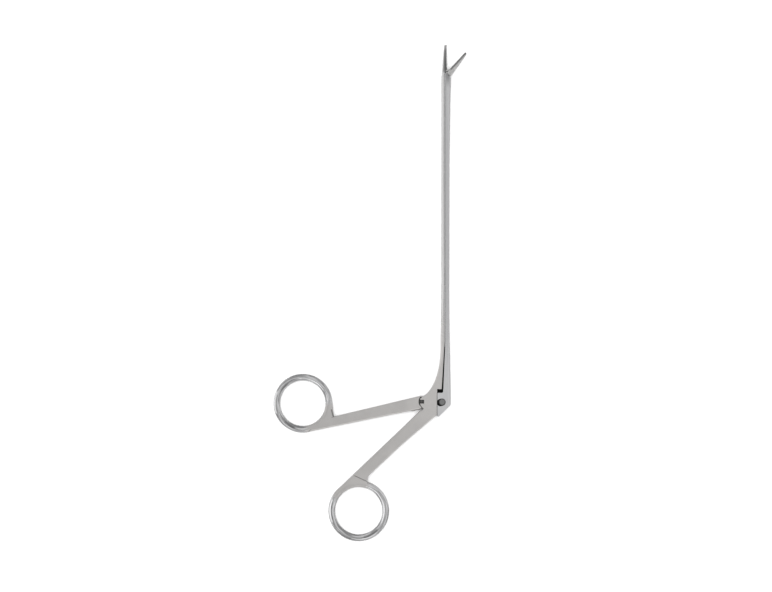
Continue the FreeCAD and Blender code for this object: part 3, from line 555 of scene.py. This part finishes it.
def satin(surface, steel, polish=0.0, painted_shade=0.0, streak=EVEN_STREAK, glint=0.0, cool=0.0):
    """Satin steel: glossy where polish is 1, painted shade near black where painted_shade is 1, painted glint
    brightest where glint is 1.
    """
    place = surface.place()
    grain = surface.noise(place, steel.grain_size, roughness=0.6)
    cloud = surface.noise(place, CLOUD_SIZE)
    smear = surface.noise(place, SMEAR_SIZE, detail=4.0, roughness=0.6)
    rounded, edge = surface.edges(steel.edge_radius)
    tone = cloud * CLOUD_SHARE + smear * (1 - CLOUD_SHARE)
    matt_level = MATT_LEVEL[0] + tone * MATT_LEVEL[1]
    # The polish carries painted reflection streaks
    buffed_level = BUFFED_LEVEL[0] + streak * BUFFED_LEVEL[1]
    level = matt_level * (1 - polish) + buffed_level * polish
    # Painted glints, a painted highlight on sharp edges, painted shade, and painted shade in gaps and corners
    level = level * (1 - glint) + glint * GLINT_LEVEL
    level = level * (1 + edge * EDGE_HIGHLIGHT_LIFT) * (1 - painted_shade * PAINTED_SHADE_DARK)
    level = level * (1 - surface.crevice_shade(steel.crevice_reach) * CREVICE_SHADE_DARK)
    tint = surface.mix(either(cool, polish), steel.flat_colour, steel.cool_colour)
    matt = steel.flat_roughness + (tone - 0.5) * TONE_ROUGH + grain * GRAIN_ROUGH
    rough = matt * (1 - polish) + polish * steel.ring_roughness - edge * EDGE_SHINE
    height = grain * (1 - polish * GRAIN_BUFFED)
    return surface.finish(surface.scaled(tint, level), rough, height, SATIN_BUMP, rounded)


def jaw_steel(surface, darker, bite):
    """Hardened jaw steel, slightly uneven, with a painted highlight on sharp edges, painted shade in gaps,
    and dark painted shade where bite is 1.
    """
    base = darker.jaw_colour
    place = surface.place()
    grain = surface.noise(place, JAW_GRAIN, roughness=0.6)
    cloud = surface.noise(place, JAW_CLOUD, detail=3.0)
    rounded, edge = surface.edges(JAW_EDGE_RADIUS)
    colour = surface.mix(cloud, shade(base, JAW_TONES[0]), shade(base, JAW_TONES[1]))
    colour = surface.painted_over(colour, edge, base, JAW_EDGE_HIGHLIGHT)
    colour = surface.painted_over(colour, bite, base, JAW_BITE_SHADE)
    colour = surface.painted_over(colour, surface.crevice_shade(JAW_CREVICE_REACH), base, JAW_CREVICE_SHADE)
    rough = darker.jaw_roughness + JAW_CLOUD_ROUGH[0] + cloud * JAW_CLOUD_ROUGH[1]
    return surface.finish(colour, rough, grain, JAW_BUMP, rounded)


def pin_steel(surface, darker, centre, radius):
    """Faced pin end with turned rings round its centre, painted shade at its rim, a painted lit patch off its
    centre and a painted highlight on its edge.
    """
    base = darker.pin_colour
    turns = surface.distance(centre) * (math.tau / TURNED_PITCH)
    turned = surface.node("ShaderNodeMath", {"operation": "SINE"}, {0: turns})
    grain = surface.noise(surface.place(), PIN_GRAIN, roughness=0.6)
    rounded, edge = surface.edges(PIN_EDGE_SHARE * radius)
    from_lit = surface.distance(centre + PIN_LIT_ASIDE * radius)
    middle = surface.fade(from_lit, PIN_LIT_SPAN[0] * radius, PIN_LIT_SPAN[1] * radius)
    colour = surface.mix(middle, shade(base, PIN_TONES[0]), shade(base, PIN_TONES[1]))
    colour = surface.painted_over(colour, edge, base, PIN_EDGE_HIGHLIGHT)
    rough = darker.pin_roughness + grain * PIN_GRAIN_ROUGH
    height = turned * TURNED_SHARE + grain * (1 - TURNED_SHARE)
    return surface.finish(colour, rough, height, PIN_BUMP, rounded)


def seam_painted_shade(surface, side):
    """Painted shade along the seam between the body and the foot; side is -1 on the body and 1 on the foot.
    """
    x, y, _ = surface.offset(LEVER_PIVOT)
    middle = SEAM_OFFSET + side * 0.5 * SEAM_SHADE_WIDTH
    return (surface.within(x, middle - 0.5 * SEAM_SHADE_WIDTH, middle + 0.5 * SEAM_SHADE_WIDTH, SEAM_FADE)
            * surface.within(y, *SEAM_SPAN, SEAM_END_FADE))


def slit_painted_shade(surface, foot, slope, side, shadow):
    """Painted shadow along one edge of the slit.

    foot is where that edge starts, slope how it leans, and side is 1 where the steel lies to its left.
    shadow is where the darkness starts and is full, measured from the edge towards the slit.
    """
    x, y, _ = surface.offset(LEVER_PIVOT)
    inside = (x - foot - (y - SLIT_SPAN[0]) * slope) * side
    return surface.rise(inside, *shadow) * surface.within(y, *SLIT_SPAN, GAP_END_FADE)


def rib_painted_shade(surface):
    """Painted shade: the rib at the bottom of the travel gap and of the slit above it, turned black."""
    x, y, z = surface.offset(LEVER_PIVOT)
    gap = (surface.within(x, SEAM_OFFSET, SEAM_OFFSET + GAP_WIDTH, GAP_SIDE_FADE)
           * surface.within(y, GAP_FOOT, SLIT_SPAN[0], GAP_END_FADE))
    slit = slit_painted_shade(surface, SLIT_FIXED_OFFSET, SLIT_FIXED_SLOPE, 1, RIB_SHADOW)
    return either(gap, slit) * surface.fade(abs(z), RIB_HALF_THICK, RIB_HALF_THICK + RIB_FADE)


def jaw_shade(surface):
    """Masks of the fixed jaw: painted shade on its flank, black painted shade on its bite near the root and a
    painted highlight on its bite edge.
    """
    x, y, _ = surface.offset(JAW_PIVOT)
    edge_highlight = surface.rise(x, *EDGE_HIGHLIGHT_SIDE) * surface.rise(y, *EDGE_HIGHLIGHT_ROOT)
    flank = surface.rise(x - y * FLANK_LEAN, *FLANK_SIDE) * surface.rise(y, *FLANK_ROOT)
    flank = flank * (1 - FLANK_TIP_SHARE + FLANK_TIP_SHARE * surface.fade(y, *FLANK_TIP))
    bite = surface.rise(x, *BITE_SIDE) * surface.rise(y, *BITE_ROOT) * surface.fade(y, *BITE_TIP)
    return flank * (1 - edge_highlight), bite * (1 - edge_highlight), edge_highlight


def polished_ring(surface, node):
    """1 on the finger ring of a handle and 0 elsewhere, with the web towards the arm left satin."""
    centre = ring_centre(node)
    rim = RING_OUT[node] + POLISH_SPARE
    ring = surface.fade(surface.distance(centre), rim, rim + POLISH_FADE)
    return ring * surface.fade(surface.facing(centre, WEB_HEADING[node]), *WEB_TURN)


def rod_polish(steel):
    """Polish of the buffed shaft, as a share of the polish of the rings."""
    return (steel.flat_roughness - steel.rod_roughness) / (steel.flat_roughness - steel.ring_roughness)


class FORCEPS_OT_fixed_handle(bpy.types.Operator):
    """Satin body and thumb arm, polished thumb ring, buffed shaft, fixed jaw darkened by painted shade,
    painted glints
    """
    bl_idname = "forceps.fixed_handle"
    bl_label = "Fixed handle finish"

    def execute(self, context):
        steel = context.scene.forceps_steel
        surface = Surface("satin_fixed_half")
        centre = ring_centre("fixed_handle")
        y = surface.offset(LEVER_PIVOT)[1]
        rod = surface.rise(y, *FIXED_BUFF)
        flank, bite, edge_highlight = jaw_shade(surface)
        # Painted shade in the rib, seam and slit, on the jaw, along the arm, in the crease and in dark
        # reflection bands
        painted_shade = either(
            rib_painted_shade(surface),
            seam_painted_shade(surface, -1) * SEAM_BODY_DARK,
            slit_painted_shade(surface, SLIT_FIXED_OFFSET, SLIT_FIXED_SLOPE, 1, SLIT_SHADOW) * SLIT_DARK,
            flank * FLANK_DARK,
            bite * BITE_DARK,
            surface.fade(y, *THUMB_ARM) * THUMB_ARM_DARK,
            surface.stroke(LEVER_PIVOT, THUMB_CREASE, THUMB_CREASE_HALF) * CREASE_DARK,
            surface.arcs(centre, THUMB_DARK_REFLECTIONS) * BAND_DARK)
        polish = polished_ring(surface, "fixed_handle") + rod * rod_polish(steel)
        streak = surface.streaks(centre) * (1 - rod) + rod * EVEN_STREAK
        # Painted glints on the ring and a painted highlight on the jaw's bite edge
        glint = either(surface.arcs(centre, THUMB_GLINTS) * GLINT_SHARE, edge_highlight * EDGE_HIGHLIGHT_SHARE)
        put_on("fixed_handle", satin(surface, steel, polish, painted_shade, streak, glint))
        return {"FINISHED"}


class FORCEPS_OT_finger_handle(bpy.types.Operator):
    """Satin finger arm with a polished ring and a tongue blackened by painted shade"""
    bl_idname = "forceps.finger_handle"
    bl_label = "Finger handle finish"

    def execute(self, context):
        steel = context.scene.forceps_steel
        surface = Surface("satin_finger_handle")
        centre = ring_centre("finger_handle")
        x, y, _ = surface.offset(LEVER_PIVOT)
        away = surface.distance(LEVER_PIVOT)
        tongue = surface.fade(away, TONGUE_END, TONGUE_END + TONGUE_FADE)
        shoulder = surface.fade(away, *SHOULDER_REACH) * surface.within(y, *SHOULDER_SPAN, SHOULDER_FADE)
        # Painted shade on the tongue, in the drive eye, on the shoulder, along the arm, in the crease and in
        # dark reflection bands
        painted_shade = either(
            tongue * TONGUE_DARK,
            surface.rise(x, *EYE_START) * EYE_DARK,
            shoulder * (1 - tongue) * SHOULDER_DARK,
            surface.fade(x, *FINGER_ARM) * FINGER_ARM_DARK,
            surface.stroke(LEVER_PIVOT, FINGER_CREASE, FINGER_CREASE_HALF) * CREASE_DARK,
            surface.arcs(centre, FINGER_DARK_REFLECTIONS) * BAND_DARK)
        polish = polished_ring(surface, "finger_handle")
        # Painted glints on the polished ring
        glint = surface.arcs(centre, FINGER_GLINTS) * GLINT_SHARE
        put_on("finger_handle", satin(surface, steel, polish, painted_shade, surface.streaks(centre), glint))
        return {"FINISHED"}


class FORCEPS_OT_sliding_shaft(bpy.types.Operator):
    """Satin foot and buffed sliding half of the shaft, with painted shade at the seam, slit, front and shaft
    """
    bl_idname = "forceps.sliding_shaft"
    bl_label = "Sliding shaft finish"

    def execute(self, context):
        steel = context.scene.forceps_steel
        surface = Surface("satin_sliding_half")
        rod = surface.rise(surface.offset(LEVER_PIVOT)[1], *SLIDE_BUFF)
        x, y, _ = surface.offset(JAW_PIVOT)
        front = surface.rise(y, *FRONT_START) * surface.within(x, *FRONT_SPAN, FRONT_FADE)
        band = surface.within(x, *ROD_BAND_SPAN, ROD_BAND_FADE)
        # Painted shade in the seam and slit, on the front, over the shaft and along a band of it
        painted_shade = either(
            seam_painted_shade(surface, 1) * SEAM_FOOT_DARK,
            slit_painted_shade(surface, SLIT_SLIDE_OFFSET, SLIT_SLIDE_SLOPE, -1, SLIT_SHADOW) * SLIT_DARK,
            front * FRONT_DARK,
            rod * ROD_DARK,
            rod * band * ROD_BAND_DARK)
        put_on("sliding_shaft", satin(surface, steel, rod * rod_polish(steel), painted_shade, cool=1.0))
        return {"FINISHED"}


class FORCEPS_OT_moving_jaw(bpy.types.Operator):
    """Jaw steel with painted shade along the bite and on the heel of the moving jaw"""
    bl_idname = "forceps.moving_jaw"
    bl_label = "Moving jaw finish"

    def execute(self, context):
        surface = Surface("hardened_jaw")
        x, y, _ = surface.offset(JAW_PIVOT)
        across = x * math.cos(JAW_OPEN) - y * math.sin(JAW_OPEN)
        along = x * math.sin(JAW_OPEN) + y * math.cos(JAW_OPEN)
        bite = surface.fade(across, *MOVING_BITE_SIDE) * surface.rise(along, *MOVING_BITE_ROOT)
        heel = surface.fade(x, *MOVING_HEEL)
        put_on("moving_jaw", jaw_steel(surface, context.scene.forceps_darker, either(bite, heel)))
        return {"FINISHED"}


class FORCEPS_OT_pins(bpy.types.Operator):
    """Faced ends of the drive pin and the two small jaw pins, and the satin lever pivot"""
    bl_idname = "forceps.pins"
    bl_label = "Pin finishes"

    def execute(self, context):
        for node in ("drive_pin", "jaw_pivot_pin", "jaw_link_pin"):
            low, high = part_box(node)
            centre = 0.5 * (low + high)
            radius = 0.5 * (high.x - low.x)
            put_on(node, pin_steel(Surface("faced_" + node), context.scene.forceps_darker, centre, radius))
        put_on("lever_pivot_pin", satin(Surface("satin_lever_pivot"), context.scene.forceps_steel))
        return {"FINISHED"}


class FORCEPS_OT_stage(bpy.types.Operator):
    """Pale floor, grey room, overhead softbox and the camera straight above"""
    bl_idname = "forceps.stage"
    bl_label = "Studio"

    def execute(self, context):
        studio = context.scene.forceps_studio
        add_floor(studio)
        add_room(studio)
        add_softbox(studio)
        add_camera(studio)
        context.scene.view_settings.view_transform = "Standard"
        return {"FINISHED"}


def add_floor(studio):
    """Matt floor that lights the object but doesn't show in its steel."""
    bpy.ops.object.select_all(action="DESELECT")
    bpy.ops.mesh.primitive_plane_add(size=studio.floor_size, location=(0.0, 0.0, 0.0))
    floor = bpy.context.object
    floor.name = "floor"
    surface = Surface("pale_floor")
    low, high = (shade(studio.floor_colour, tone) for tone in FLOOR_TONES)
    colour = surface.mix(surface.noise(surface.place(), FLOOR_PATCH), low, high)
    surface.feed(surface.shader.inputs["Base Color"], colour)
    surface.shader.inputs["Roughness"].default_value = FLOOR_ROUGHNESS
    surface.shader.inputs["Specular IOR Level"].default_value = 0.0
    floor.data.materials.append(surface.material)
    floor.visible_glossy = False


def add_room(studio):
    """Grey room: a dark band between bright walls each way across it, and clutter low on the walls."""
    world = bpy.data.worlds.new("room")
    bpy.context.scene.world = world
    room = World(world)
    towards = room.node("ShaderNodeTexCoord", output="Generated")
    x, y, z = room.parts(towards)
    turn_x = room.node("ShaderNodeMath", {"operation": "ARCTAN2"}, {0: x, 1: z}) / math.tau + 0.5
    turn_y = room.node("ShaderNodeMath", {"operation": "ARCTAN2"}, {0: y, 1: z}) / math.tau + 0.5
    across = room.ramp(turn_x, ROOM_ACROSS)
    along = room.ramp(turn_y, ROOM_ALONG)
    square_x, square_y = x * x, y * y
    level = (across * square_x + along * square_y) / (square_x + square_y + NOT_ZERO)
    clutter = room.node("ShaderNodeTexNoise", {"noise_dimensions": "3D"}, {
        "Vector": towards, "Scale": CLUTTER_SCALE, "Detail": CLUTTER_DETAIL, "Roughness": 0.5})
    low = room.ramp(1 - z, ROOM_LOW_WALLS)
    level = level * (1 + low * (clutter - 0.5) * studio.room_clutter)
    room.feed(room.nodes["Background"].inputs["Color"], level * studio.sky_level)
    room.nodes["Background"].inputs["Strength"].default_value = 1.0


def add_softbox(studio):
    light = bpy.data.lights.new("overhead_softbox", "AREA")
    light.shape = "DISK"
    light.size = studio.softbox_size
    light.energy = studio.key_power
    owner = bpy.data.objects.new("overhead_softbox", light)
    bpy.context.scene.collection.objects.link(owner)
    owner.location = studio.softbox_place
    owner.rotation_euler = (-owner.location).to_track_quat("-Z", "Y").to_euler()
    owner.visible_glossy = False


def add_camera(studio):
    """Camera straight above, as far off as its lens needs to see the whole frame width."""
    data = bpy.data.cameras.new("camera")
    data.lens = studio.lens
    data.clip_end = 100.0
    owner = bpy.data.objects.new("camera", data)
    bpy.context.scene.collection.objects.link(owner)
    distance = studio.frame_width * studio.lens / data.sensor_width
    owner.location = Vector(studio.look_at) + Vector((0.0, 0.0, distance))
    bpy.context.scene.camera = owner


class FORCEPS_PT_panel(bpy.types.Panel):
    """Lists the finishes and the studio"""
    bl_idname = "FORCEPS_PT_panel"
    bl_label = "Forceps"
    bl_space_type = "VIEW_3D"
    bl_region_type = "UI"
    bl_category = "Forceps"

    def draw(self, context):
        layout = self.layout
        for operator in OPERATORS:
            layout.operator(operator.bl_idname)
        for name in ("forceps_steel", "forceps_darker", "forceps_studio"):
            group = getattr(context.scene, name)
            box = layout.box()
            for key in group.bl_rna.properties.keys():
                if key not in ("rna_type", "name"):
                    box.prop(group, key)


GROUPS = (Steel, Darker, Studio)
OPERATORS = (
    FORCEPS_OT_fixed_handle,
    FORCEPS_OT_finger_handle,
    FORCEPS_OT_sliding_shaft,
    FORCEPS_OT_moving_jaw,
    FORCEPS_OT_pins,
    FORCEPS_OT_stage,
)


def register():
    for made in GROUPS + OPERATORS + (FORCEPS_PT_panel,):
        bpy.utils.register_class(made)
    bpy.types.Scene.forceps_steel = bpy.props.PointerProperty(type=Steel)
    bpy.types.Scene.forceps_darker = bpy.props.PointerProperty(type=Darker)
    bpy.types.Scene.forceps_studio = bpy.props.PointerProperty(type=Studio)


def unregister():
    del bpy.types.Scene.forceps_steel
    del bpy.types.Scene.forceps_darker
    del bpy.types.Scene.forceps_studio
    for made in reversed(GROUPS + OPERATORS + (FORCEPS_PT_panel,)):
        bpy.utils.unregister_class(made)


def main():
    register()
    bpy.ops.forceps.fixed_handle()
    bpy.ops.forceps.finger_handle()
    bpy.ops.forceps.sliding_shaft()
    bpy.ops.forceps.moving_jaw()
    bpy.ops.forceps.pins()
    bpy.ops.forceps.stage()


if __name__ == "__main__":
    main()
